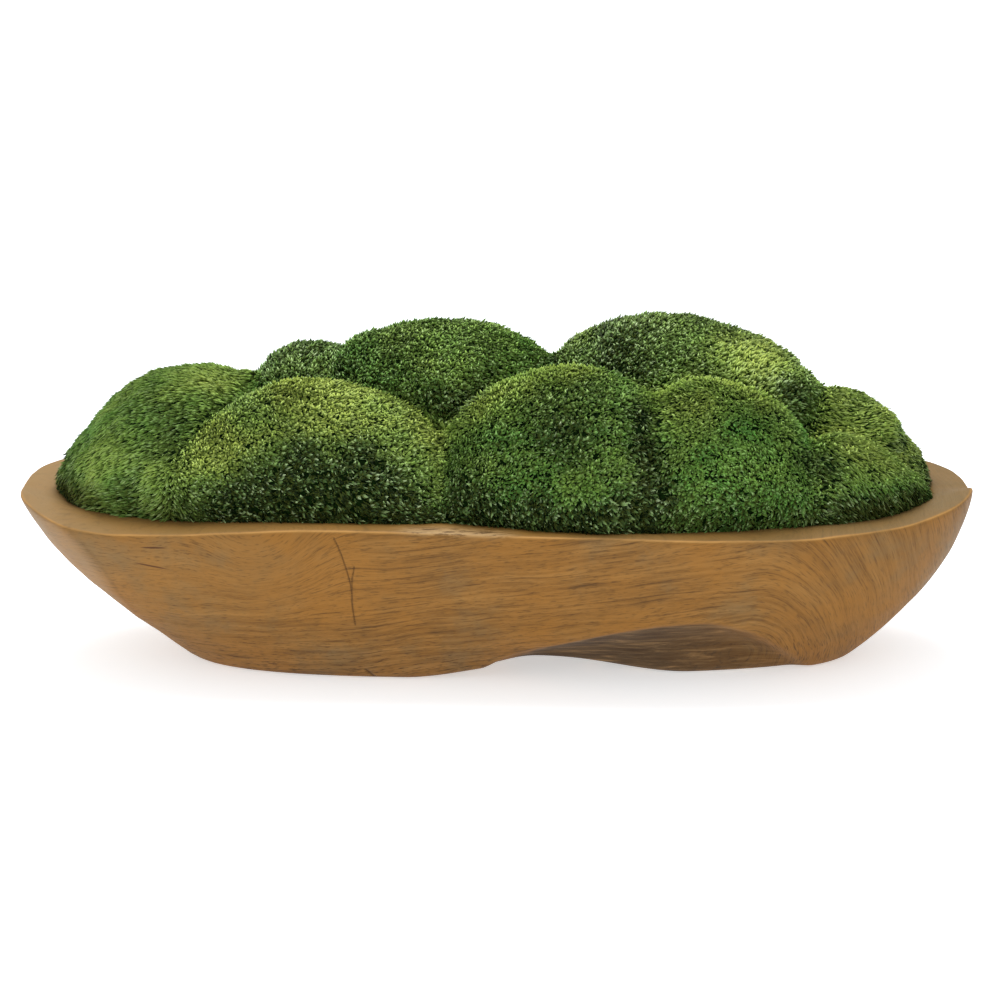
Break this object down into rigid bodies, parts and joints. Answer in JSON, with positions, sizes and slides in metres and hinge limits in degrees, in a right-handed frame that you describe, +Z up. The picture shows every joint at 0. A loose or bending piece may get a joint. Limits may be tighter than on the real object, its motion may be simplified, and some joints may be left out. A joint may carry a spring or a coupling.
{
  "type": "moss centerpiece",
  "caption": "Long oval trough carved from teak, filled with dry foam and heaped with rounded clumps of preserved cushion moss.",
  "frame": {"origin": "on the surface that the trough stands on, under the middle of its rim", "axes": "+X along the trough to the right as seen from its front, +Y to its back, +Z up"},
  "size_m": [0.76, 0.309, 0.2688],
  "materials": {
    "teak": "hand carved and sanded teak, dry and matte, with a weathered patch under the front",
    "foam": "dry floral foam, open and crumbly",
    "moss": "preserved cushion moss, short dense leafy shoots, matte"
  },
  "bodies": {
    "root": {"teak_trough": "teak", "foam_bed": "foam", "moss_left_end": "moss", "moss_front_left": "moss", "moss_back_left": "moss", "moss_back_center": "moss", "moss_front_center": "moss", "moss_back_right": "moss", "moss_front_right": "moss", "moss_back_end_right": "moss", "moss_right_end": "moss"}
  },
  "joints": []
}
